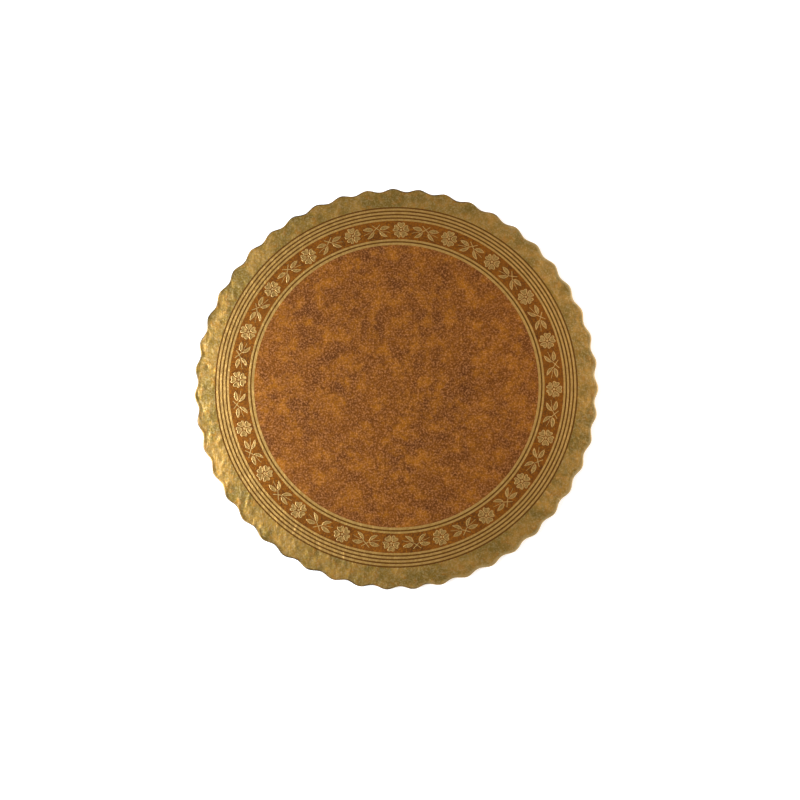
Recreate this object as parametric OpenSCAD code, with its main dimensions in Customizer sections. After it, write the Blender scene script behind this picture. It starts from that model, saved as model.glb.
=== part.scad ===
// Round cake board with a scalloped edge: a double-wall corrugated core in a foil wrap,
// with a paper disc glued beneath. Z = 0 is the face that rests on the table.

/* [Board] */
// Diameter half way between the scallops' tips and valleys
board_d = 300; // [200:1:400]
// Number of scallops round the edge
scallop_n = 47; // [24:1:72]
// How far a tip stands out from the mean edge, and a valley goes in
scallop_h = 1.2; // [0.4:0.1:3]
// Turn of the first tip from +X, in degrees
first_tip = -0.84; // [-8:0.01:8]

/* [Core] */
// Thickness of each flat liner sheet
liner_t = 0.3; // [0.2:0.05:0.6]
// Height of each fluted layer, crest to crest
flute_h = 2.5; // [1.2:0.1:5]
// Distance from one flute crest to the next
flute_pitch = 6.3; // [4:0.1:9]
// Thickness of the fluted paper
flute_t = 0.25; // [0.15:0.05:0.4]
// Slack between the core's cut edge and the wrap round it
core_slack = 0.15; // [0.05:0.05:0.5]

/* [Foil wrap] */
// Thickness of the foil paper with its glue
wrap_t = 0.3; // [0.1:0.05:0.5]
// Width of the hem that is turned in under the board
hem_w = 16; // [12:0.5:30]

/* [Base paper] */
// Thickness of the paper disc under the board
base_t = 0.2; // [0.1:0.05:0.4]
// How far the disc laps over the hem
base_lap = 9; // [4:0.5:10]
// Slack between the disc's step and the hem's inner edge
base_slack = 0.3; // [0.1:0.05:0.6]

/* [Hidden] */
$fn = 180;

// Straight sides that each scallop is drawn with
scallop_sides = 8;
// Points along one flute. The odd half step below gives each crest a flat that meets the liner.
flute_points = 12;
// What a cutter reaches past the face that it opens
cut = 1;

core_inset = wrap_t + core_slack;
hem_r = board_d / 2 - hem_w;
base_r = hem_r + base_lap;

// Heights, from the table up
hem_z = base_t;
bottom_liner_z = hem_z + wrap_t;
lower_flute_z = bottom_liner_z + liner_t;
middle_liner_z = lower_flute_z + flute_h;
upper_flute_z = middle_liner_z + liner_t;
top_liner_z = upper_flute_z + flute_h;
wrap_top_z = top_liner_z + liner_t;
board_z = wrap_top_z + wrap_t;

// Distance from the middle to the edge at angle a, drawn in by inset
function edge_r(a, inset) = board_d / 2 - inset + scallop_h * cos(scallop_n * (a - first_tip));

module outline(inset) {
    sides = scallop_n * scallop_sides;
    polygon([
        for (i = [0 : sides - 1])
            let (a = first_tip + 360 * i / sides)
                edge_r(a, inset) * [cos(a), sin(a)]
    ]);
}

module scalloped_sheet(inset, z, t) {
    translate([0, 0, z])
        linear_extrude(height = t)
            outline(inset);
}

// The fluted paper's middle line: its angle, slope and points at step i
function flute_angle(i) = (i + 0.5) * 360 / flute_points;
function flute_rise() = (flute_h - flute_t) / 2 / sin(90 - 180 / flute_points);
function flute_slope(i) = flute_rise() * 2 * PI / flute_pitch * cos(flute_angle(i));
function flute_point(i, side) =
    let (n = [-flute_slope(i), 1] / norm([-flute_slope(i), 1]))
        [i * flute_pitch / flute_points, flute_rise() * sin(flute_angle(i))] + side * flute_t / 2 * n;

module fluted_sheet(z) {
    reach = ceil((board_d / 2 + scallop_h) / flute_pitch) * flute_points;
    long = board_d + 2 * scallop_h + 2 * cut;
    intersection() {
        translate([0, long / 2, z + flute_h / 2])
            rotate([90, 0, 0])
                linear_extrude(height = long)
                    polygon(concat(
                        [for (i = [-reach : reach]) flute_point(i, 1)],
                        [for (i = [reach : -1 : -reach]) flute_point(i, -1)]
                    ));
        scalloped_sheet(core_inset, z - cut, flute_h + 2 * cut);
    }
}

module foil_wrap() {
    color("#b8924c")
        difference() {
            scalloped_sheet(0, hem_z, board_z - hem_z);
            scalloped_sheet(wrap_t, bottom_liner_z, wrap_top_z - bottom_liner_z);
            translate([0, 0, hem_z - cut])
                cylinder(r = hem_r, h = wrap_t + 2 * cut);
        }
}

module top_liner() {
    color("#b58a5c") scalloped_sheet(core_inset, top_liner_z, liner_t);
}

module upper_flute() {
    color("#a97f52") fluted_sheet(upper_flute_z);
}

module middle_liner() {
    color("#b58a5c") scalloped_sheet(core_inset, middle_liner_z, liner_t);
}

module lower_flute() {
    color("#a97f52") fluted_sheet(lower_flute_z);
}

module bottom_liner() {
    color("#b58a5c") scalloped_sheet(core_inset, bottom_liner_z, liner_t);
}

// A thin disc that lies over the hem and steps up to the bottom liner inside it
module base_paper() {
    step_r = hem_r - base_slack;
    color("#efeae0")
        difference() {
            union() {
                cylinder(r = base_r, h = base_t);
                cylinder(r = step_r, h = bottom_liner_z);
            }
            translate([0, 0, -cut])
                cylinder(r = step_r - base_t, h = bottom_liner_z - base_t + cut);
        }
}

foil_wrap();
top_liner();
upper_flute();
middle_liner();
lower_flute();
bottom_liner();
base_paper();
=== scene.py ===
"""Scalloped cake board: a printed foil sheet wrapped round a corrugated core, with a paper disc beneath."""

import math
import random
from collections import namedtuple

import bmesh
import bpy
from mathutils import Matrix, Vector, noise
from mathutils.bvhtree import BVHTree


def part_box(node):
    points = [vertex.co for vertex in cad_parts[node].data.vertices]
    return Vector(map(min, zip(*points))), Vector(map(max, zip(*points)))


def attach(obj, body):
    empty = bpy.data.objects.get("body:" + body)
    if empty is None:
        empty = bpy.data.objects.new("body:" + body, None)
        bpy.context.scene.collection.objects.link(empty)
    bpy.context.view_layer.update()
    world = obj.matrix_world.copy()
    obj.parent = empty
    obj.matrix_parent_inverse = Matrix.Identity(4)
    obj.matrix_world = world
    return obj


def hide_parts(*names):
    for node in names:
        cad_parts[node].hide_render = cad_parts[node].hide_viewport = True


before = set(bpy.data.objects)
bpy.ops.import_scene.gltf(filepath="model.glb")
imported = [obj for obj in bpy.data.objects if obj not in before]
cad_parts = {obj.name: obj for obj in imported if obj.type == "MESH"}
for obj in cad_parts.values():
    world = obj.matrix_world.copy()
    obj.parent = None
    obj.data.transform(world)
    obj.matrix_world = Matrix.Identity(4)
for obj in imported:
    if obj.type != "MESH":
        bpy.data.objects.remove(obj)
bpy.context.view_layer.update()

bl_info = {
    "name": "Cake Board",
    "version": (1, 0, 0),
    "blender": (4, 5, 0),
    "location": "View3D > Sidebar > Cake Board",
    "description": "Builds a foil-wrapped cake board with a scalloped edge and a printed garland",
    "category": "Object",
}

MM = 0.001
FULL_TURN = 2 * math.pi
MERGE_GAP = 0.001 * MM  # points nearer than this become one
SHARP_ANGLE = math.radians(35)  # edges that turn more than this are shaded as corners
LIT_SIDE = math.radians(-12)  # the side of the edge towards the right light, given a painted highlight and spared the painted rim shade, from +X
LIFTED_TIPS = (math.radians(-131.1), math.radians(53.4))  # tips whose foil has come up, from +X
CREASE_SEED = 11  # another whole number gives other creases

# Distance across the foil's waves
SWELL_SIZE = 70 * MM
COCKLE_SIZE = 12 * MM
SAG_SIZE = 16 * MM
RIPPLE_SIZE = 3.4 * MM
LIP_SIZE = 12 * MM
GATHER_SIZE = 3.4 * MM
# patches over which the painted rim shade and highlight vary
PAINTED_RIM_SIZE = 7 * MM
PLEAT_DRIFT_SIZE = 9 * MM

# Which pattern of noise each wave follows
SWELL_LAYER = 1
COCKLE_LAYER = 2
SAG_LAYER = 3
GATHER_LAYER = 4
PLEAT_LAYER = 6
# noise pattern of the painted rim shade and highlight
PAINTED_RIM_LAYER = 7
LIP_LAYER = 9
RIPPLE_CHANGE = 1.8  # how fast the ripples' pattern changes inwards
GATHER_CHANGE = 0.4  # how fast the gathers' pattern changes upwards

# Shares of a wave's full height or of the full painted rim shade: the mean, and how far the noise swings it
# either way
SAG_MEAN, SAG_SWING = 0.75, 0.6
LIP_MEAN, LIP_SWING = 0.8, 0.9
PAINTED_RIM_MEAN, PAINTED_RIM_SWING = 0.6, 1.2
SHINE_LEAST, SHINE_RANGE = 0.5, 0.4  # the painted highlight on the rim's lit side at its weakest, and what the rim noise adds
MEDALLION_COCKLE = 0.35  # the cockles' share where the foil is glued flattest
GREATEST_SINK = 0.8  # share of its own thickness by which the foil's top may sink

# Zones by the rim, as distances in from the mean edge
RIM_ZONE = 7.5 * MM
SCALLOP_FULL = 0.5 * MM
SIDE_ZONE = 1.6 * MM
HEM_FLAT = 3 * MM
HEM_END = 0.6 * MM
LIFTED_WIDTH = 2.6 * MM  # half the width of a lifted tip, along the edge
TOP_SHARE = 0.9  # share of the half height over which the top's waves fade down the side
SCALLOP_EASE = 1.5  # how late the scallops begin to show in the foil's rings

# The gathers down the side and the pleats in the hem
GATHER_SHARPNESS = 3
PLEAT_DRIFT = 0.8  # how unevenly the pleats are spaced, in pleats
PLEAT_LEAN = 0.25  # how far a pleat leans sideways for each step inwards
PLEAT_REST = 0.35  # where in a pleat the hem has its plain height
PLEAT_CREST = 0.8  # where in a pleat the painted shade along its folded edge begins

# Where the painted shade goes: the rim's shoulder, the gathers' hollows and the pleats' folds. The
# shoulder's limits are in roundings of the top edge.
SHOULDER_LOW, SHOULDER_HIGH = 2.2, 1.2
SHOULDER_INNER, SHOULDER_OUTER = 1.8, 0.7
LIT_FROM, LIT_FULL = 0.1, 0.7  # cosines of the turn from the lit side
LIT_SHARE = 0.85  # how much of the painted rim shade the lit side is spared
# how dark the painted shade in the gathers' hollows is
GATHER_SHADE = 0.6
# how dark the painted shade along the pleats' folds is
PLEAT_SHADE = 0.8

# Distance between the rings of the foil's mesh, and the sides of its rounded edges
HEM_PITCH = 2.0 * MM
SIDE_PITCH = 1.2 * MM
MARGIN_PITCH = 0.8 * MM
PRINT_PITCH = 1.5 * MM
MEDALLION_PITCH = 14 * MM
LOW_SIDES = 3
TOP_SIDES = 5

# The printed films and the motifs, in mm where nothing else is said
FILM_DEPTH = 1.5  # the film's thickness against its height over the foil, so that no gap is under it
DEEPEST_WAVE = 1 * MM  # the foil's top lies nowhere lower than this under its plain height
FACING_UP = 0.5  # a face whose normal has a greater Z looks up
LOOK_DOWN_FROM = 5 * MM  # over the foil, to find its height under a motif
RIM_SLOPE = 0.25  # share of a motif's rim that slopes
RIM_RISE = 0.35  # how far the rim's slope rises, against the motif's height
FIELD_SLOPE = 0.12
FIELD_DROP = 0.25  # how far the field lies below the rim, against the motif's height
PETALS = 5
PETAL_RIM = 0.45
HALF_PETAL = (
    (0, 1.45), (0.75, 1.75), (1.45, 2.5), (2.12, 3.45), (2.55, 4.5),
    (2.5, 5.35), (1.85, 5.9), (0.9, 5.75), (0, 5.2),
)
BUTTON_RADIUS = 0.95
BUTTON_SIDES = 10
LEAF_RIM = 0.42
LEAF_STEPS = 7
LEAF_FULLNESS = 0.85  # below 1 makes a leaf fuller, and fullest nearer its base
STEM_STEPS = 6

# The base paper
PAPER_RINGS = (0, 20 * MM, 60 * MM, 100 * MM, 124 * MM)
PAPER_GAP = 0.6 * MM  # between the paper's step and the hem's inner edge
PAPER_PITCH = 1.2 * MM
HEM_GAP = 0.01 * MM  # between the paper and the hem over it
CORE_GAP = 0.02 * MM  # between the paper and the core over it
PRESSED_SHARE = 0.3  # how far the pleats press into the paper, against its thickness
PRESSED_RINGS = 3  # rings out from the paper's step by which the pleats show fully

# The lights: where they stand, in metres, and what they look like
WINDOW_PLACE = (-1.15, 0.0, 1.25)
WINDOW_SIDE = 0.9
WINDOW_TINT = "#d8e9ff"
FILL_PLACE = (1.05, 0.3, 1.3)
FILL_SIDE = 1.0
FILL_TINT = "#fbfbff"
WALL_TOP, CEILING_START = 0.35, 0.95  # sines of the height between which the walls fade into the ceiling

MIX_A, MIX_B, MIXED = 6, 7, 2  # the Mix node's colour sockets, which share their names with others
OWN_PROPERTIES = 2  # Blender's own properties, which come first in each group

# What the CAD model settles
FOIL_LOW, FOIL_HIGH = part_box("foil_wrap")
CORE_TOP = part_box("top_liner")[1].z
CORE_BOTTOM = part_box("bottom_liner")[0].z
PAPER_LOW, PAPER_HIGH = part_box("base_paper")
TIP_RADIUS = max(v.co.xy.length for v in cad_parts["foil_wrap"].data.vertices)
HEM_RADIUS = min(v.co.xy.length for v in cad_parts["foil_wrap"].data.vertices if v.co.z < CORE_BOTTOM)

Crease = namedtuple("Crease", "start direction length height width")

# Sets of creases. Turns and headings in degrees from +X, lengths in mm, heights as shares of the full one.
CreaseSet = namedtuple("CreaseSet", "first last count headings lengths heights")
CREASE_SETS = (
    CreaseSet(-168, -105, 26, (55, 105), (5, 16), (0.4, 1.1)),
    CreaseSet(150, 192, 16, (55, 125), (4, 12), (0.4, 1.1)),
    CreaseSet(-48, -3, 22, (95, 165), (3, 9), (0.5, 1.3)),
    CreaseSet(95, 150, 12, (-80, -10), (3, 9), (0.3, 0.7)),
    CreaseSet(-105, -48, 14, (60, 120), (3, 9), (0.3, 0.8)),
    CreaseSet(0, 95, 14, (150, 260), (3, 8), (0.3, 0.7)),
)
CREASE_STAGGER = (0.1, 0.9)  # where a crease lies in its share of the set's turn
CREASE_STARTS = (0.5, 12)  # mm in from the mean edge
CREASE_WIDTHS = (0.7, 1.7)  # mm
CREASE_SIGNS = (1, 1, -1)  # two in three stand up
CREASE_REACH = 3  # widths past which a crease is flat
CREASE_FULLNESS = 0.7  # below 1 keeps a crease's height nearer to its ends

# One deep nick at the lower right
NICK_DEPTH = 6 * MM
NICK_TURN = math.radians(-35.8)
NICK_HEADING = math.radians(-20)
NICK_LENGTH = 6 * MM
NICK_HEIGHT = 2.2
NICK_WIDTH = 0.8 * MM

# The sprig's right half: each leaf's base, tip, half width and bow, and each stem's points and width
LEAVES = (
    ((2.5, -0.55), (10.2, 0.75), 1.5, 0.25),
    ((2.0, -1.75), (8.2, -6.8), 1.25, -0.75),
)
STEMS = (
    (((2.7, -1.5), (1.2, -0.9), (-2.9, 3.0)), 0.5),
    (((4.2, -2.1), (7.2, -2.6), (10.4, -3.6)), 0.3),
)


def linear(hex_colour):
    """An sRGB hex colour such as #c9a45c as linear red, green, blue and alpha."""
    channels = [int(hex_colour[i:i + 2], 16) / 255 for i in (1, 3, 5)]
    return (*[c / 12.92 if c <= 0.04045 else ((c + 0.055) / 1.055) ** 2.4 for c in channels], 1.0)


def length(name, description, millimetres):
    return bpy.props.FloatProperty(
        name=name, description=description, default=millimetres * MM, unit="LENGTH", subtype="DISTANCE"
    )


def offset(name, description, x, y):
    return bpy.props.FloatVectorProperty(
        name=name, description=description, default=(x * MM, y * MM), size=2, unit="LENGTH"
    )


def angle(name, description, degrees):
    return bpy.props.FloatProperty(
        name=name, description=description, default=math.radians(degrees), unit="ROTATION", subtype="ANGLE"
    )


def colour(name, description, hex_colour):
    return bpy.props.FloatVectorProperty(
        name=name, description=description, default=linear(hex_colour),
        size=4, min=0, max=1, subtype="COLOR",
    )


def whole_number(name, description, number):
    return bpy.props.IntProperty(name=name, description=description, default=number)


def amount(name, description, value):
    return bpy.props.FloatProperty(name=name, description=description, default=value)


class BoardSizes(bpy.types.PropertyGroup):
    """Sizes of the scalloped board and of its foil."""

    scallops: whole_number("Scallops", "Scallops round the edge", 47)
    scallop_height: length("Scallop height", "How far a tip stands out from the mean edge", 1.2)
    first_tip: angle("First tip", "Turn of the first tip from +X", -0.84)
    sides_per_scallop: whole_number("Sides", "Mesh sides along one scallop", 24)
    top_rounding: length("Top rounding", "Radius of the foil where it turns down over the edge", 0.7)
    low_rounding: length("Low rounding", "Radius of the foil where it turns in under the board", 0.9)
    rim_start: length("Rim start", "Radius inside which the scallops don't show in the foil", 136.4)
    swell: length("Swell", "Height of the board's own slow waves", 0.12)
    cockle: length("Cockle", "Height of the foil's small waves", 0.08)
    rim_sag: length("Rim sag", "How far the crushed core edge lets the foil down", 0.05)
    lip: length("Lip", "How far the foil stands up along the very edge", 0.16)
    lip_width: length("Lip width", "Width of the edge that stands up", 3)
    valley_dip: length("Valley dip", "How far the foil's edge dips at each valley", 0.05)
    ripple: length("Ripple", "Height of the short ripples just inside the rim", 0.07)
    crease: length("Crease", "Height of the foil's sharp creases", 0.13)
    lifted_tip: length("Lifted tip", "How far the foil has come up at two of the tips", 0.45)
    gather: length("Gather", "Depth of the upright gathers down the board's side", 0.3)
    pleat: length("Pleat", "Depth of the pleats in the hem under the board", 0.22)
    pleat_pitch: length("Pleat pitch", "Usual distance between the hem's pleats", 5.2)


class PrintSizes(bpy.types.PropertyGroup):
    """Radii and widths of the printed pattern, from the middle of the print."""

    shift: offset("Shift", "How far the print lies off the board's middle", -0.1, 0.75)
    ink: length("Ink", "Thickness of the ink film", 0.02)
    medallion: length("Medallion", "Radius of the mottled middle", 106.5)
    inner_line: length("Inner line", "Radius of the line between medallion and garland", 108.86)
    line_width: length("Line width", "Width of each brown line", 1.15)
    band_inner: length("Band inside", "Inner radius of the garland's ground", 110.9)
    band_outer: length("Band outside", "Outer radius of the garland's ground", 125.2)
    first_line: length("First outer line", "Radius of the innermost of the outer lines", 127.25)
    line_pitch: length("Line pitch", "Distance between the outer lines", 2.68)
    outer_lines: whole_number("Outer lines", "Lines outside the garland", 4)
    repeats: whole_number("Repeats", "Flowers round the garland", 20)
    first_flower: angle("First flower", "Turn of the first flower from +X", 88.25)
    flower_ring: length("Flower ring", "Radius of the flowers' middles", 118.1)
    sprig_ring: length("Sprig ring", "Radius at which the sprigs' stems cross", 119.7)
    motif_height: length("Motif height", "How far the flowers and leaves stand out of the foil", 0.07)


class BoardColours(bpy.types.PropertyGroup):
    """Colours of the foil, inks and papers."""

    gold: colour("Gold", "The foil's usual tone", "#c68e34")
    gold_olive: colour("Olive gold", "The foil where it is duller", "#916c14")
    gold_warm: colour("Warm gold", "The foil's orange patches", "#c27c18")
    # also the painted highlight along the rim's lit side
    gold_pale: colour("Pale gold", "Fine bright specks in the foil", "#e6c484")
    # painted shade: the dark colour mixed in along the rim's shoulder, in the gathers' hollows and along
    # the pleats' folds
    gold_edge_shade: colour("Gold edge", "The rubbed foil where it turns down over the edge", "#5c441c")
    stripe: colour("Stripe gold", "Polished gold between the brown lines", "#e1ab58")
    medallion_dark: colour("Medallion dark", "Dark clouds in the medallion's ink", "#5a2b02")
    medallion_mid: colour("Medallion middle", "The medallion's usual tone", "#874901")
    medallion_light: colour("Medallion light", "Orange clouds in the medallion's ink", "#b86c08")
    ink_speck: colour("Ink speck", "Pale specks where the ink is thin", "#d98c50")
    band_dark: colour("Garland dark", "Dark tone of the garland's ground", "#4f2903")
    band_mid: colour("Garland middle", "Usual tone of the garland's ground", "#8b4d0a")
    line_ink: colour("Line ink", "Brown of the thin lines", "#683c04")
    petal: colour("Petal", "Bright gold of the petals' and leaves' rims", "#e8b666")
    stipple: colour("Stipple", "Shaded gold inside petals and leaves", "#a1712b")
    kraft: colour("Kraft", "Unbleached liner board", "#b58a5c")
    kraft_dark: colour("Dark kraft", "Fibres in the unbleached board", "#8e6a42")
    paper: colour("Paper", "White base paper", "#f1ede4")
    paper_fibre: colour("Paper fibre", "Cloudy tone in the base paper", "#dcd4c4")
    floor: colour("Floor", "Pale table top", "#f4f3f1")


class StageSettings(bpy.types.PropertyGroup):
    """The camera's place and the strength of the lights."""

    lens: amount("Lens", "Focal length in mm", 50)
    distance: length("Distance", "From the camera to the point it looks at", 830.2)
    elevation: angle("Elevation", "Angle of the view above the table", 84.1)
    aim: offset("Aim", "Where on the board's top the camera looks", 2.67, -10.98)
    floor_size: length("Floor size", "Side of the pale table top", 6000)
    window: amount("Window", "Power of the big left light, in watts", 42)
    fill: amount("Fill", "Power of the right light, in watts", 6.5)
    horizon: amount("Horizon", "Brightness of the room's walls", 0.8)
    ceiling: amount("Ceiling", "Brightness of the room overhead", 0.185)
    glow: amount("Glow", "Light that comes up through the table", 0.6)


def smooth(value, low, high):
    """0 below low, 1 above high and an even slope between."""
    t = min(1.0, max(0.0, (value - low) / (high - low)))
    return t * t * (3 - 2 * t)


def hills(x, y, size, layer):
    """Smooth noise from about -1 to 1 whose hills are size across. Each whole layer is another pattern."""
    return noise.noise(Vector((x / size, y / size, layer + 0.5)))


def polar(radius, turn):
    return Vector((radius * math.cos(turn), radius * math.sin(turn)))


def crease_lines(board):
    """The foil's sharp creases: the sets all round the margin, and the nick."""
    rng = random.Random(CREASE_SEED)
    mean_edge = TIP_RADIUS - board.scallop_height
    creases = []
    for group in CREASE_SETS:
        for i in range(group.count):
            passed = (group.last - group.first) * (i + rng.uniform(*CREASE_STAGGER)) / group.count
            turn = math.radians(group.first + passed)
            start = polar(mean_edge - rng.uniform(*CREASE_STARTS) * MM, turn)
            heading = math.radians(rng.uniform(*group.headings))
            height = board.crease * rng.uniform(*group.heights) * rng.choice(CREASE_SIGNS)
            width = rng.uniform(*CREASE_WIDTHS) * MM
            reach = rng.uniform(*group.lengths) * MM
            creases.append(Crease(start, polar(1, heading), reach, height, width))
    nick = polar(mean_edge - NICK_DEPTH, NICK_TURN)
    nick_height = NICK_HEIGHT * board.crease
    creases.append(Crease(nick, polar(1, NICK_HEADING), NICK_LENGTH, nick_height, NICK_WIDTH))
    return creases


def crease_height(point, creases):
    """How far the creases lift the foil at this point."""
    total = 0.0
    for crease in creases:
        away = point - crease.start
        if away.length > crease.length:
            continue
        along = away.dot(crease.direction) / crease.length
        across = away.cross(crease.direction) / crease.width
        if 0 < along < 1 and abs(across) < CREASE_REACH:
            profile = math.sin(math.pi * along) ** CREASE_FULLNESS
            total += crease.height * profile * math.exp(-across * across)
    return total


def foil_section(board, pattern):
    """Half section of the foil as (radius, height) points: hem, rim and top, then back along the inside."""
    rim = TIP_RADIUS - board.scallop_height
    inside = FOIL_HIGH.z - CORE_TOP
    top, low = board.top_rounding, board.low_rounding
    points = [(r, FOIL_LOW.z) for r in steps(HEM_RADIUS, rim - low, HEM_PITCH)]
    points += arc(rim - low, FOIL_LOW.z + low, low, -90, 0, LOW_SIDES)
    points += [(rim, z) for z in steps(FOIL_LOW.z + low, FOIL_HIGH.z - top, SIDE_PITCH)][1:]
    points += arc(rim - top, FOIL_HIGH.z - top, top, 0, 90, TOP_SIDES)
    margin = print_edges(pattern)[-1]
    points += [(r, FOIL_HIGH.z) for r in steps(rim - top, margin, MARGIN_PITCH)]
    rings = print_edges(pattern)[::-1]
    for outer, inner in zip(rings, rings[1:]):
        points += [(r, FOIL_HIGH.z) for r in steps(outer, inner, PRINT_PITCH)]
    points += [(r, FOIL_HIGH.z) for r in steps(pattern.medallion, 0.0, MEDALLION_PITCH)]
    points += [(0.0, FOIL_HIGH.z), (0.0, CORE_TOP)]
    points += [(r, CORE_TOP) for r in (pattern.medallion, board.rim_start, rim - top)]
    points += [(rim - inside, CORE_TOP - top), (rim - inside, CORE_BOTTOM + low), (rim - low, CORE_BOTTOM)]
    points += [(HEM_RADIUS, CORE_BOTTOM), (HEM_RADIUS, FOIL_LOW.z)]
    return points


def steps(start, end, pitch):
    """Even steps from start towards end, which isn't included."""
    count = max(1, round(abs(end - start) / pitch))
    return [start + (end - start) * i / count for i in range(count)]


def arc(x, z, radius, first, last, count):
    """Points on a quarter round, with its first point and without its last."""
    turns = [math.radians(first + (last - first) * i / count) for i in range(count)]
    return [(x + radius * math.cos(t), z + radius * math.sin(t)) for t in turns]


def print_edges(pattern):
    """The radii at which the print changes, from the middle out."""
    half = pattern.line_width / 2
    edges = [pattern.medallion, pattern.inner_line - half, pattern.inner_line + half]
    edges += [pattern.band_inner, pattern.band_outer]
    for i in range(pattern.outer_lines):
        middle = pattern.first_line + i * pattern.line_pitch
        edges += [middle - half, middle + half]
    return edges


def spun(points, sectors, sides):
    """The solid that (radius, height) points of a half section sweep round Z: a sector, then its copies."""
    bm = bmesh.new()
    verts = [bm.verts.new((r, 0, z)) for r, z in points]
    edges = [bm.edges.new(pair) for pair in zip(verts, verts[1:])]
    round_z = {"cent": (0, 0, 0), "axis": (0, 0, 1)}
    bmesh.ops.spin(bm, geom=verts + edges, angle=FULL_TURN / sectors, steps=sides, **round_z)
    sector = bm.verts[:] + bm.edges[:] + bm.faces[:]
    rest = FULL_TURN * (sectors - 1) / sectors
    bmesh.ops.spin(bm, geom=sector, angle=rest, steps=sectors - 1, use_duplicate=True, **round_z)
    bmesh.ops.remove_doubles(bm, verts=bm.verts, dist=MERGE_GAP)
    bmesh.ops.recalc_face_normals(bm, faces=bm.faces)
    return bm


def pleat_fold(board, turn, radius):
    """How far through its pleat a point of the hem lies: 0 at the root and 1 at the folded edge."""
    pleats = round(FULL_TURN * TIP_RADIUS / board.pleat_pitch)
    edge = polar(TIP_RADIUS, turn)
    drift = PLEAT_DRIFT * hills(edge.x, edge.y, PLEAT_DRIFT_SIZE, PLEAT_LAYER)
    lean = PLEAT_LEAN * (TIP_RADIUS - radius) / board.pleat_pitch
    return (turn / FULL_TURN * pleats + lean + drift) % 1


def on_brink(board, radius):
    """0 on the flat top and 1 at the very edge, where the foil stands up."""
    mean_edge = TIP_RADIUS - board.scallop_height
    return smooth(radius, mean_edge - board.lip_width, mean_edge - board.top_rounding / 2)


def top_height(board, pattern, creases, place, turn, radius):
    """How far the foil's top stands over the plain board at this place."""
    mean_edge = TIP_RADIUS - board.scallop_height
    edge = polar(mean_edge, turn)
    near_edge = smooth(radius, mean_edge - RIM_ZONE, mean_edge)
    brink = on_brink(board, radius)
    loose = MEDALLION_COCKLE + (1 - MEDALLION_COCKLE) * smooth(radius, pattern.medallion, board.rim_start)
    valley = 1 - math.cos(board.scallops * (turn - board.first_tip))
    sag = SAG_MEAN + SAG_SWING * hills(place.x, place.y, SAG_SIZE, SAG_LAYER)
    ripple_layer = RIPPLE_CHANGE * radius / RIPPLE_SIZE
    upright = LIP_MEAN + LIP_SWING * hills(edge.x, edge.y, LIP_SIZE, LIP_LAYER)

    height = board.swell * hills(place.x, place.y, SWELL_SIZE, SWELL_LAYER)
    height += board.cockle * loose * hills(place.x, place.y, COCKLE_SIZE, COCKLE_LAYER)
    height -= board.rim_sag * near_edge * sag
    height += board.ripple * near_edge * hills(edge.x, edge.y, RIPPLE_SIZE, ripple_layer)
    height += board.lip * brink * upright
    height -= board.valley_dip * valley * near_edge
    if radius > pattern.medallion:
        height += crease_height(place, creases)
    for tip in LIFTED_TIPS:
        aside = (turn - tip) * mean_edge / LIFTED_WIDTH
        height += board.lifted_tip * brink * math.exp(-aside * aside)
    lowest = GREATEST_SINK * (CORE_TOP - FOIL_HIGH.z)
    return max(height, lowest)


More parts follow.
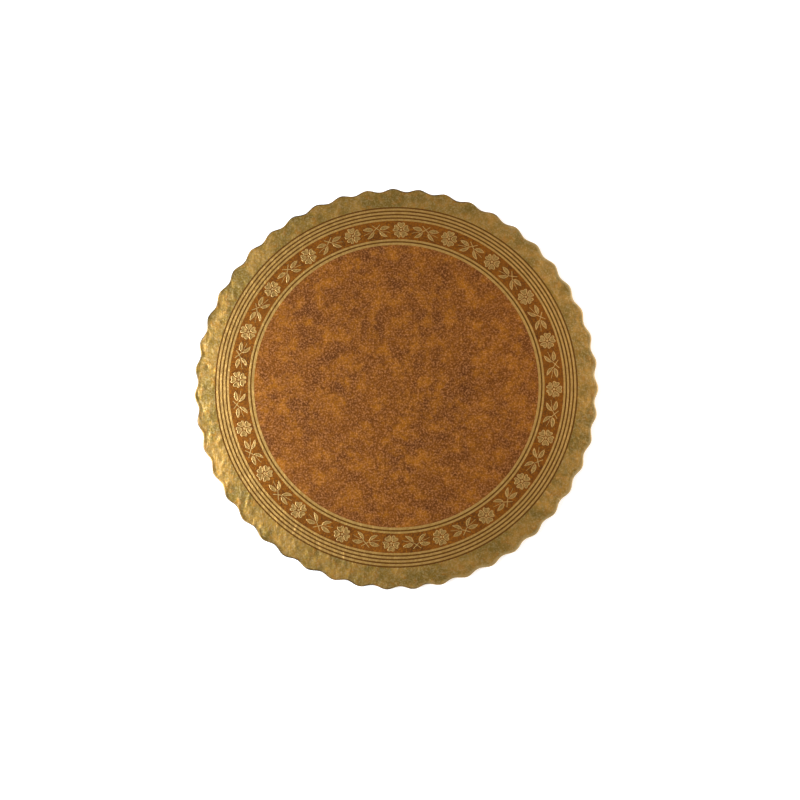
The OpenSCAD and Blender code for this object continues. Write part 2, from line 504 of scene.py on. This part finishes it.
def shape_foil(bm, board, pattern):
    """Gives the spun foil its scallops, waves, creases, gathers and pleats, and marks where it gets painted
    shade and a painted highlight.
    """
    mean_edge = TIP_RADIUS - board.scallop_height
    middle_z = (FOIL_LOW.z + FOIL_HIGH.z) / 2
    half_height = (FOIL_HIGH.z - FOIL_LOW.z) / 2
    top = board.top_rounding
    print_middle = Vector(pattern.shift)
    creases = crease_lines(board)
    # painted shade on the rim, gathers and pleats, and a painted highlight on the rim's lit side
    painted_edge_shade = bm.verts.layers.float.new("painted_edge_shade")
    painted_edge_highlight = bm.verts.layers.float.new("painted_edge_highlight")
    for v in bm.verts:
        radius, turn, z = v.co.xy.length, math.atan2(v.co.y, v.co.x), v.co.z
        edge = polar(mean_edge, turn)
        rim = smooth(radius, board.rim_start, mean_edge - SCALLOP_FULL)
        on_top = smooth(z, middle_z, middle_z + TOP_SHARE * half_height)
        on_side = smooth(radius, mean_edge - SIDE_ZONE, mean_edge) * (1 - abs(z - middle_z) / half_height)
        on_hem = (z < CORE_BOTTOM) * (1 - smooth(radius, mean_edge - HEM_FLAT, mean_edge - HEM_END))

        gather_layer = GATHER_LAYER + GATHER_CHANGE * z / GATHER_SIZE
        ridge = GATHER_SHARPNESS * abs(hills(edge.x, edge.y, GATHER_SIZE, gather_layer))
        gather = max(0.0, 1 - ridge)
        wave = board.scallop_height * math.cos(board.scallops * (turn - board.first_tip))
        place = polar(radius + wave * rim ** SCALLOP_EASE - board.gather * on_side * gather, turn)
        place += print_middle * (1 - rim)
        fold = pleat_fold(board, turn, radius)
        lift = on_top and on_top * top_height(board, pattern, creases, place, turn, radius)
        v.co = (*place, z + lift + board.pleat * (fold - PLEAT_REST) * on_hem)

        # Painted rim shade: darker along the shoulder in noisy patches, except on the side towards the
        # right light
        lit_side = smooth(math.cos(turn - LIT_SIDE), LIT_FROM, LIT_FULL)
        painted_rim_noise = PAINTED_RIM_MEAN + PAINTED_RIM_SWING * hills(edge.x, edge.y, PAINTED_RIM_SIZE, PAINTED_RIM_LAYER)
        uneven = min(1.0, max(0.0, painted_rim_noise))
        shoulder = smooth(z, FOIL_HIGH.z - SHOULDER_LOW * top, FOIL_HIGH.z - SHOULDER_HIGH * top)
        shoulder *= smooth(radius, mean_edge - SHOULDER_INNER * top, mean_edge - SHOULDER_OUTER * top)
        painted_rim_shade = shoulder * uneven * (1 - LIT_SHARE * lit_side)
        # painted shade in the hollows of the gathers down the side
        painted_gather_shade = GATHER_SHADE * on_side * gather ** 2
        # painted shadow along each pleat's folded edge
        painted_pleat_shade = PLEAT_SHADE * on_hem * smooth(fold, PLEAT_CREST, 1)
        v[painted_edge_shade] = max(painted_rim_shade, painted_gather_shade, painted_pleat_shade)
        # painted highlight: paler along the rim on the side towards the right light
        v[painted_edge_highlight] = on_brink(board, radius) * on_top * lit_side * (SHINE_LEAST + SHINE_RANGE * uneven)


def new_piece(name, bm, materials, slot, *replaced):
    """Makes an object of the bmesh, frees it, and fastens the piece to the board."""
    mesh = bpy.data.meshes.new(name)
    bm.to_mesh(mesh)
    bm.free()
    for polygon in mesh.polygons:
        polygon.use_smooth = True
    mesh.set_sharp_from_angle(angle=SHARP_ANGLE)
    for material in materials:
        mesh.materials.append(material)
    piece = bpy.data.objects.new(name, mesh)
    bpy.context.scene.collection.objects.link(piece)
    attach(piece, "root")
    if replaced:
        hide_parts(*replaced)
    return piece


def cut_from_foil(pattern, zones):
    """Copies the printed zones of the foil's top, as films of ink that follow its shape."""
    middle = Vector(pattern.shift)
    bm = bmesh.new()
    bm.from_mesh(bpy.data.objects["printed_foil"].data)
    lowest_top = (FOIL_HIGH.z + CORE_TOP) / 2 - DEEPEST_WAVE

    def outside(face):
        centre = face.calc_center_median()
        radius = (centre.xy - middle).length
        hidden = face.normal.z < FACING_UP or centre.z < lowest_top
        return hidden or not any(low < radius < high for low, high in zones)

    bmesh.ops.delete(bm, geom=[f for f in bm.faces if outside(f)], context="FACES")
    bmesh.ops.translate(bm, verts=bm.verts, vec=(0, 0, pattern.ink))
    bmesh.ops.solidify(bm, geom=bm.faces[:], thickness=pattern.ink * FILM_DEPTH)
    return bm


def mirrored(half):
    """A closed outline from one half of it, whose first and last points lie on the line x = 0."""
    return [*half, *[(-x, y) for x, y in half[-2:0:-1]]]


def raised_shape(bm, outline, height, rim, matrix=Matrix()):
    """A low closed shape on this outline in mm, with a bright rim and a shaded field inside it."""
    base = [bm.verts.new(matrix @ Vector((x, y, 0)) * MM) for x, y in outline]
    floor = bm.faces.new(base)
    floor.normal_update()
    if floor.normal.z < 0:
        floor.normal_flip()
    lifted = bmesh.ops.extrude_face_region(bm, geom=[floor], use_keep_orig=True)["geom"]
    top = next(g for g in lifted if isinstance(g, bmesh.types.BMFace))
    bmesh.ops.translate(bm, verts=top.verts, vec=(0, 0, height))
    if rim:
        slope, flat = rim * RIM_SLOPE * MM, rim * (1 - RIM_SLOPE) * MM
        bmesh.ops.inset_region(bm, faces=[top], thickness=slope, depth=height * RIM_RISE)
        bmesh.ops.inset_region(bm, faces=[top], thickness=flat, depth=0)
        top.material_index = 1
        bmesh.ops.inset_region(bm, faces=[top], thickness=FIELD_SLOPE * MM, depth=-height * FIELD_DROP)


def flower(bm, height):
    """Five notched petals round a small button."""
    for i in range(PETALS):
        turned = Matrix.Rotation(i * FULL_TURN / PETALS, 4, "Z")
        raised_shape(bm, mirrored(HALF_PETAL), height, PETAL_RIM, turned)
    button = [polar(BUTTON_RADIUS, i * FULL_TURN / BUTTON_SIDES) for i in range(BUTTON_SIDES)]
    raised_shape(bm, button, height, 0)


def leaf(bm, base, tip, half_width, bow, height):
    """A pointed leaf from base to tip in mm, bowed to one side of the line between them."""
    spine = tip - base
    across = Vector((-spine.y, spine.x)).normalized() * math.copysign(1, base.x)
    there, back = range(LEAF_STEPS + 1), range(LEAF_STEPS - 1, 0, -1)
    outline = []
    for edge, order in ((1, there), (-1, back)):
        for i in order:
            t = i / LEAF_STEPS
            bulge = half_width * math.sin(math.pi * t ** LEAF_FULLNESS) ** LEAF_FULLNESS * edge
            bulge += bow * math.sin(math.pi * t)
            outline.append(base + spine * t + across * bulge)
    raised_shape(bm, outline, height, LEAF_RIM)


def stem(bm, points, width, height):
    """A thin raised line through three points in mm, along a smooth curve."""
    start, bend, end = points
    left, right = [], []
    for i in range(STEM_STEPS + 1):
        t = i / STEM_STEPS
        spot = start * (1 - t) ** 2 + bend * 2 * t * (1 - t) + end * t ** 2
        heading = ((bend - start) * (1 - t) + (end - bend) * t).normalized()
        aside = Vector((-heading.y, heading.x)) * width / 2
        left.append(spot + aside)
        right.append(spot - aside)
    raised_shape(bm, left + right[::-1], height, 0)


def sprig(bm, height):
    """Two crossing stems, each with two leaves and a tendril."""
    for side in (-1, 1):
        for base, tip, half_width, bow in LEAVES:
            base, tip = [Vector((x * side, y)) for x, y in (base, tip)]
            leaf(bm, base, tip, half_width, bow, height)
        for points, width in STEMS:
            stem(bm, [Vector((x * side, y)) for x, y in points], width, height)


def garland(pattern, make, ring, first):
    """Repeats a flat motif round the ring, on the foil. first is in repeats past the first flower."""
    foil = BVHTree.FromObject(bpy.data.objects["printed_foil"], bpy.context.evaluated_depsgraph_get())
    bm = bmesh.new()
    make(bm, pattern.motif_height)
    motif = bm.verts[:] + bm.edges[:] + bm.faces[:]
    middle = Vector(pattern.shift)
    for k in range(pattern.repeats):
        turn = pattern.first_flower + (k + first) * FULL_TURN / pattern.repeats
        copied = bmesh.ops.duplicate(bm, geom=motif)["geom"]
        for v in [g for g in copied if isinstance(g, bmesh.types.BMVert)]:
            spot = polar(ring + v.co.y, turn - v.co.x / ring) + middle
            hit = foil.ray_cast(Vector((*spot, FOIL_HIGH.z + LOOK_DOWN_FROM)), Vector((0, 0, -1)))[0]
            v.co = (*spot, hit.z + v.co.z)
    bmesh.ops.delete(bm, geom=[g for g in motif if isinstance(g, bmesh.types.BMVert)], context="VERTS")
    return bm


def new_material(name):
    """A material with only a Principled shader and its output, and its node tree."""
    material = bpy.data.materials.new(name)
    material.use_nodes = True
    return material, material.node_tree


def add_node(tree, kind, inputs, **settings):
    """Adds a node. inputs maps a socket's name or number to a value or to another node's output."""
    made = tree.nodes.new(kind)
    for name, value in settings.items():
        setattr(made, name, value)
    for name, value in inputs.items():
        if isinstance(value, bpy.types.NodeSocket):
            tree.links.new(value, made.inputs[name])
        else:
            made.inputs[name].default_value = value
    return made


def patterned_material(name):
    """A new material, its node tree, and the object's own coordinates for its patterns."""
    material, tree = new_material(name)
    return material, tree, add_node(tree, "ShaderNodeTexCoord", {}).outputs["Object"]


def per_metre(millimetres):
    """A noise scale whose features are this many millimetres across."""
    return 1 / (millimetres * MM)


def blotches(tree, place, size, fade, under, over, most=1.0):
    """Blotches size mm across of one colour over another. fade is the span of noise they come in over."""
    spots = add_node(
        tree, "ShaderNodeTexNoise",
        {"Vector": place, "Scale": per_metre(size), "Detail": 6.0, "Roughness": 0.6},
    )
    cover = add_node(
        tree, "ShaderNodeMapRange",
        {"Value": spots.outputs[0], "From Min": fade[0], "From Max": fade[1], "To Max": most},
    )
    mix = {"Factor": cover.outputs[0], MIX_A: under, MIX_B: over}
    return add_node(tree, "ShaderNodeMix", mix, data_type="RGBA").outputs[MIXED]


def foil_bump(tree, place, strength):
    """Thin foil paper's relief: soft crumples about 6 mm across, slanting 1 mm streaks and a tooth.

    The real tooth is finer than 1 mm, and is drawn that coarse so that it shows.
    """
    slanted = add_node(
        tree, "ShaderNodeMapping",
        {"Vector": place, "Rotation": (0.0, 0.0, math.radians(14)), "Scale": (1.0, 0.2, 1.0)},
    ).outputs[0]
    layers = ((place, 6, 0.3), (slanted, 1.0, 0.06), (place, 1.0, 0.04))  # size and depth in mm
    relief = None
    for vector, size, depth in layers:
        sockets = {"Vector": vector, "Scale": per_metre(size), "Detail": 2.0}
        layer = add_node(tree, "ShaderNodeTexNoise", sockets)
        sockets = {"Height": layer.outputs[0], "Strength": strength, "Distance": depth * MM}
        if relief:
            sockets["Normal"] = relief.outputs[0]
        relief = add_node(tree, "ShaderNodeBump", sockets)
    return relief.outputs[0]


def lacquered(material, place, tint, crumpling, metallic=1.0, roughness=0.36, coat=0.8):
    """Finishes foil or ink: its tint, its relief and the clear lacquer that whitens bright reflections."""
    tree = material.node_tree
    shader = tree.nodes["Principled BSDF"]
    tree.links.new(tint, shader.inputs["Base Color"])
    tree.links.new(foil_bump(tree, place, crumpling), shader.inputs["Normal"])
    shader.inputs["Metallic"].default_value = metallic
    shader.inputs["Roughness"].default_value = roughness
    shader.inputs["Coat Weight"].default_value = coat
    shader.inputs["Coat Roughness"].default_value = 0.3
    return material


def gold_foil(colours):
    """Vacuum-metallised paper under a yellow lacquer: a soft sheen with cloudy olive and orange tints."""
    material, tree, place = patterned_material("metallised gold paper")
    olive, warm, pale = colours.gold_olive, colours.gold_warm, colours.gold_pale
    toned = blotches(tree, place, size=14, fade=(0.4, 0.6), under=colours.gold, over=olive)
    mottled = blotches(tree, place, size=5, fade=(0.45, 0.62), under=toned, over=olive, most=0.5)
    tinted = blotches(tree, place, size=6, fade=(0.53, 0.7), under=mottled, over=warm, most=0.8)
    surface_tint = blotches(tree, place, size=1.2, fade=(0.46, 0.7), under=tinted, over=pale, most=0.5)
    # mixes in the painted highlight on the rim's lit side, then the painted shade on the rim, gathers and
    # pleats
    for attribute, tint in (("painted_edge_highlight", pale), ("painted_edge_shade", colours.gold_edge_shade)):
        share = add_node(tree, "ShaderNodeAttribute", {}, attribute_name=attribute).outputs["Fac"]
        mix = {"Factor": share, MIX_A: surface_tint, MIX_B: tint}
        surface_tint = add_node(tree, "ShaderNodeMix", mix, data_type="RGBA").outputs[MIXED]
    return lacquered(material, place, surface_tint, crumpling=0.9, roughness=0.38)


def stripe_gold(colours):
    """The foil between the brown lines, pressed smooth by the printing: brighter and more even."""
    material, tree, place = patterned_material("pressed gold paper")
    stripe, gold = colours.stripe, colours.gold
    surface_tint = blotches(tree, place, size=2.0, fade=(0.42, 0.68), under=stripe, over=gold, most=0.8)
    return lacquered(material, place, surface_tint, crumpling=0.9)


def petal_gold(colours):
    """The rims of petals and leaves: bare bright foil."""
    material, tree, place = patterned_material("bright gold paper")
    petal, stipple = colours.petal, colours.stipple
    surface_tint = blotches(tree, place, size=1.5, fade=(0.5, 0.75), under=petal, over=stipple, most=0.8)
    return lacquered(material, place, surface_tint, crumpling=0.5)


def stippled_gold(colours):
    """The foil inside petals and leaves, dulled by a fine stipple of ink, drawn coarse enough to show."""
    material, tree, place = patterned_material("stippled gold paper")
    petal, stipple = colours.petal, colours.stipple
    dots = blotches(tree, place, size=0.9, fade=(0.48, 0.66), under=stipple, over=petal, most=0.7)
    return lacquered(material, place, dots, crumpling=0.5, roughness=0.4)


def mottled_ink(name, dark, middle, light, speck):
    """Translucent brown ink sponged over foil: dark and orange clouds, fine specks and a metal sheen."""
    material, tree, place = patterned_material(name)
    clouded = blotches(tree, place, size=16, fade=(0.42, 0.66), under=middle, over=dark, most=0.75)
    warmed = blotches(tree, place, size=10, fade=(0.46, 0.66), under=clouded, over=light, most=0.8)
    sponged = blotches(tree, place, size=3, fade=(0.45, 0.66), under=warmed, over=dark, most=0.5)
    grained = blotches(tree, place, size=1.2, fade=(0.47, 0.66), under=sponged, over=dark, most=0.35)
    specked = blotches(tree, place, size=1.3, fade=(0.47, 0.66), under=grained, over=speck, most=0.6)
    return lacquered(material, place, specked, crumpling=0.6, metallic=0.85, roughness=0.45, coat=0.15)


def line_ink(colours):
    """A thin printed line: the same brown ink, denser, with the foil's shine just coming through."""
    material, tree, place = patterned_material("brown line ink")
    ink, gold = colours.line_ink, colours.gold_olive
    surface_tint = blotches(tree, place, size=1.5, fade=(0.5, 0.8), under=ink, over=gold, most=0.5)
    return lacquered(material, place, surface_tint, crumpling=0.6, metallic=0.8, roughness=0.42, coat=0.05)


def paper(name, pale, fibre, fibre_size):
    """Uncoated paper or kraft board: matt, with clouds 12 mm across and short fibres in its surface."""
    material, tree, place = patterned_material(name)
    clouds = add_node(tree, "ShaderNodeTexNoise", {"Vector": place, "Scale": per_metre(12), "Detail": 4.0})
    stretched = add_node(tree, "ShaderNodeMapping", {"Vector": place, "Scale": (1.0, 0.35, 1.0)})
    fibres = add_node(
        tree, "ShaderNodeTexNoise",
        {"Vector": stretched.outputs[0], "Scale": per_metre(fibre_size), "Detail": 4.0, "Roughness": 0.7},
    )
    factors = {0: clouds.outputs[0], 1: fibres.outputs[0]}
    both = add_node(tree, "ShaderNodeMath", factors, operation="MULTIPLY")
    cover = add_node(
        tree, "ShaderNodeMapRange",
        {"Value": both.outputs[0], "From Min": 0.2, "From Max": 0.42, "To Max": 0.5},
    )
    mix = {"Factor": cover.outputs[0], MIX_A: pale, MIX_B: fibre}
    mixed = add_node(tree, "ShaderNodeMix", mix, data_type="RGBA")
    relief = {"Height": fibres.outputs[0], "Strength": 0.6, "Distance": 0.05 * MM}
    bump = add_node(tree, "ShaderNodeBump", relief)
    shader = tree.nodes["Principled BSDF"]
    tree.links.new(mixed.outputs[MIXED], shader.inputs["Base Color"])
    tree.links.new(bump.outputs[0], shader.inputs["Normal"])
    shader.inputs["Roughness"].default_value = 0.85
    return material


def base_paper(board):
    """The disc under the board: flat over the hem, stepped up inside it, and marked by the hem's pleats."""
    edge, low, high = PAPER_HIGH.x, PAPER_LOW.z, CORE_BOTTOM - FOIL_LOW.z
    step = HEM_RADIUS - PAPER_GAP
    over_hem, under_core = FOIL_LOW.z - HEM_GAP, CORE_BOTTOM - CORE_GAP
    points = [(r, high) for r in (*PAPER_RINGS, step - PAPER_PITCH)]
    points += [(r, low) for r in steps(step, edge, PAPER_PITCH)]
    points += [(edge, low)]
    points += [(r, over_hem) for r in steps(edge, step, PAPER_PITCH)]
    points += [(step, under_core), (step - PAPER_PITCH, under_core), (0, under_core)]
    bm = spun(points, board.scallops, board.sides_per_scallop // 2)
    for v in bm.verts:
        if v.co.z < over_hem / 2:
            radius, turn = v.co.xy.length, math.atan2(v.co.y, v.co.x)
            pressed = smooth(radius, step + PAPER_PITCH, step + PRESSED_RINGS * PAPER_PITCH)
            pressed *= pleat_fold(board, turn, radius)
            v.co.z += PRESSED_SHARE * FOIL_LOW.z * pressed
    return bm


def make_floor(settings, colours):
    """A white acrylic table top, lit from beneath so that it holds almost no shadow."""
    material, tree = new_material("lit white acrylic")
    shader = tree.nodes["Principled BSDF"]
    shader.inputs["Base Color"].default_value = colours.floor
    shader.inputs["Roughness"].default_value = 0.9
    shader.inputs["Emission Color"].default_value = colours.floor
    shader.inputs["Emission Strength"].default_value = settings.glow
    bm = bmesh.new()
    bmesh.ops.create_grid(bm, x_segments=1, y_segments=1, size=settings.floor_size / 2)
    mesh = bpy.data.meshes.new("table_top")
    bm.to_mesh(mesh)
    bm.free()
    mesh.materials.append(material)
    floor = bpy.data.objects.new("table_top", mesh)
    bpy.context.scene.collection.objects.link(floor)


def make_light(name, place, size, power, tint):
    """A soft square light that faces the board."""
    lamp = bpy.data.lights.new(name, "AREA")
    lamp.shape = "SQUARE"
    lamp.size = size
    lamp.energy = power
    lamp.color = linear(tint)[:3]
    light = bpy.data.objects.new(name, lamp)
    light.location = place
    light.rotation_euler = (-Vector(place)).to_track_quat("-Z", "Y").to_euler()
    bpy.context.scene.collection.objects.link(light)


def make_lights(scene, settings):
    """A large soft light from the left, a weaker one from the right, and a pale room."""
    make_light("left window", WINDOW_PLACE, WINDOW_SIDE, settings.window, WINDOW_TINT)
    make_light("right fill", FILL_PLACE, FILL_SIDE, settings.fill, FILL_TINT)
    world = bpy.data.worlds.new("pale room")
    world.use_nodes = True
    tree = world.node_tree
    direction = add_node(tree, "ShaderNodeTexCoord", {}).outputs["Generated"]
    height = add_node(tree, "ShaderNodeSeparateXYZ", {0: direction}).outputs["Z"]
    fade = {
        "Value": height, "From Min": WALL_TOP, "From Max": CEILING_START,
        "To Min": settings.horizon, "To Max": settings.ceiling,
    }
    strength = add_node(tree, "ShaderNodeMapRange", fade, interpolation_type="SMOOTHSTEP")
    room = tree.nodes["Background"]
    room.inputs["Color"].default_value = linear("#ffffff")
    tree.links.new(strength.outputs[0], room.inputs["Strength"])
    scene.world = world
    scene.view_settings.view_transform = "Standard"


def make_camera(scene, settings):
    """The camera, high over the near side of the board."""
    data = bpy.data.cameras.new("camera")
    data.lens = settings.lens
    camera = bpy.data.objects.new("camera", data)
    aim = Vector((*settings.aim, FOIL_HIGH.z))
    back = Vector((0, -math.cos(settings.elevation), math.sin(settings.elevation)))
    camera.location = aim + back * settings.distance
    camera.rotation_euler = (math.pi / 2 - settings.elevation, 0, 0)
    scene.collection.objects.link(camera)
    scene.camera = camera


class CAKEBOARD_OT_foil(bpy.types.Operator):
    """Make the printed foil sheet that wraps the board"""

    bl_idname = "cakeboard.foil"
    bl_label = "Foil"

    def execute(self, context):
        board, pattern = context.scene.board_sizes, context.scene.print_sizes
        bm = spun(foil_section(board, pattern), board.scallops, board.sides_per_scallop)
        shape_foil(bm, board, pattern)
        new_piece("printed_foil", bm, [gold_foil(context.scene.board_colours)], "gold_foil", "foil_wrap")
        return {"FINISHED"}


class CAKEBOARD_OT_print(bpy.types.Operator):
    """Print the mottled medallion, the garland's ground and the thin lines on the foil"""

    bl_idname = "cakeboard.print"
    bl_label = "Print"

    def execute(self, context):
        pattern, colours = context.scene.print_sizes, context.scene.board_colours
        edges = print_edges(pattern)
        middle, line_in, line_out, band_in, band_out, *outer = edges
        medallion, ground = [(0, middle)], [(band_in, band_out)]
        lines = [(line_in, line_out), *zip(outer[0::2], outer[1::2])]
        stripes = list(zip(edges[0::2], edges[1::2]))
        medallion_ink = mottled_ink(
            "medallion ink", colours.medallion_dark, colours.medallion_mid,
            colours.medallion_light, colours.ink_speck,
        )
        ground_ink = mottled_ink(
            "garland ink", colours.band_dark, colours.band_mid,
            colours.medallion_mid, colours.medallion_light,
        )
        new_piece("medallion_print", cut_from_foil(pattern, medallion), [medallion_ink], "gold_foil")
        new_piece("garland_ground", cut_from_foil(pattern, ground), [ground_ink], "gold_foil")
        new_piece("printed_lines", cut_from_foil(pattern, lines), [line_ink(colours)], "gold_foil")
        new_piece("gold_stripes", cut_from_foil(pattern, stripes), [stripe_gold(colours)], "gold_foil")
        return {"FINISHED"}


class CAKEBOARD_OT_garland(bpy.types.Operator):
    """Lay the gold flowers and leaf sprigs round the garland's ground"""

    bl_idname = "cakeboard.garland"
    bl_label = "Garland"

    def execute(self, context):
        pattern, colours = context.scene.print_sizes, context.scene.board_colours
        golds = [petal_gold(colours), stippled_gold(colours)]
        flowers = garland(pattern, flower, pattern.flower_ring, 0)
        new_piece("garland_flowers", flowers, golds, "gold_foil")
        sprigs = garland(pattern, sprig, pattern.sprig_ring, 0.5)
        new_piece("garland_sprigs", sprigs, golds, "gold_foil")
        return {"FINISHED"}


class CAKEBOARD_OT_underside(bpy.types.Operator):
    """Glue the white paper disc under the board"""

    bl_idname = "cakeboard.underside"
    bl_label = "Base paper"

    def execute(self, context):
        colours = context.scene.board_colours
        white = paper("uncoated white paper", colours.paper, colours.paper_fibre, 1.6)
        disc = base_paper(context.scene.board_sizes)
        new_piece("underside_paper", disc, [white], "white_paper", "base_paper")
        return {"FINISHED"}


class CAKEBOARD_OT_core(bpy.types.Operator):
    """Give the corrugated core inside the foil its kraft board"""

    bl_idname = "cakeboard.core"
    bl_label = "Core"

    def execute(self, context):
        colours = context.scene.board_colours
        liner = paper("kraft liner board", colours.kraft, colours.kraft_dark, 1.2)
        fluting = paper("kraft fluting paper", colours.kraft_dark, colours.kraft, 0.9)
        for name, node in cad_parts.items():
            if name.endswith(("_liner", "_flute")):
                node.material_slots[0].material = fluting if name.endswith("_flute") else liner
        return {"FINISHED"}


class CAKEBOARD_OT_stage(bpy.types.Operator):
    """Set up the pale table, the soft lights and the camera"""

    bl_idname = "cakeboard.stage"
    bl_label = "Stage"

    def execute(self, context):
        settings, colours = context.scene.stage_settings, context.scene.board_colours
        make_floor(settings, colours)
        make_lights(context.scene, settings)
        make_camera(context.scene, settings)
        return {"FINISHED"}


class CAKEBOARD_PT_panel(bpy.types.Panel):
    """The board's operators, in the order they are used"""

    bl_idname = "CAKEBOARD_PT_panel"
    bl_label = "Cake Board"
    bl_space_type = "VIEW_3D"
    bl_region_type = "UI"
    bl_category = "Cake Board"

    def draw(self, context):
        for step in STEPS:
            self.layout.operator(step.bl_idname)
        for settings in ("board_sizes", "print_sizes", "board_colours", "stage_settings"):
            box = self.layout.box()
            group = getattr(context.scene, settings)
            for name in group.bl_rna.properties.keys()[OWN_PROPERTIES:]:
                box.prop(group, name)


STEPS = (
    CAKEBOARD_OT_foil,
    CAKEBOARD_OT_print,
    CAKEBOARD_OT_garland,
    CAKEBOARD_OT_underside,
    CAKEBOARD_OT_core,
    CAKEBOARD_OT_stage,
)
GROUPS = {
    "board_sizes": BoardSizes,
    "print_sizes": PrintSizes,
    "board_colours": BoardColours,
    "stage_settings": StageSettings,
}


def register():
    for group in GROUPS.values():
        bpy.utils.register_class(group)
    for step in (*STEPS, CAKEBOARD_PT_panel):
        bpy.utils.register_class(step)
    for name, group in GROUPS.items():
        setattr(bpy.types.Scene, name, bpy.props.PointerProperty(type=group))


def unregister():
    for name in GROUPS:
        delattr(bpy.types.Scene, name)
    for step in (CAKEBOARD_PT_panel, *reversed(STEPS)):
        bpy.utils.unregister_class(step)
    for group in reversed(GROUPS.values()):
        bpy.utils.unregister_class(group)


def main():
    register()
    bpy.ops.cakeboard.foil()
    bpy.ops.cakeboard.print()
    bpy.ops.cakeboard.garland()
    bpy.ops.cakeboard.underside()
    bpy.ops.cakeboard.core()
    bpy.ops.cakeboard.stage()


if __name__ == "__main__":
    main()
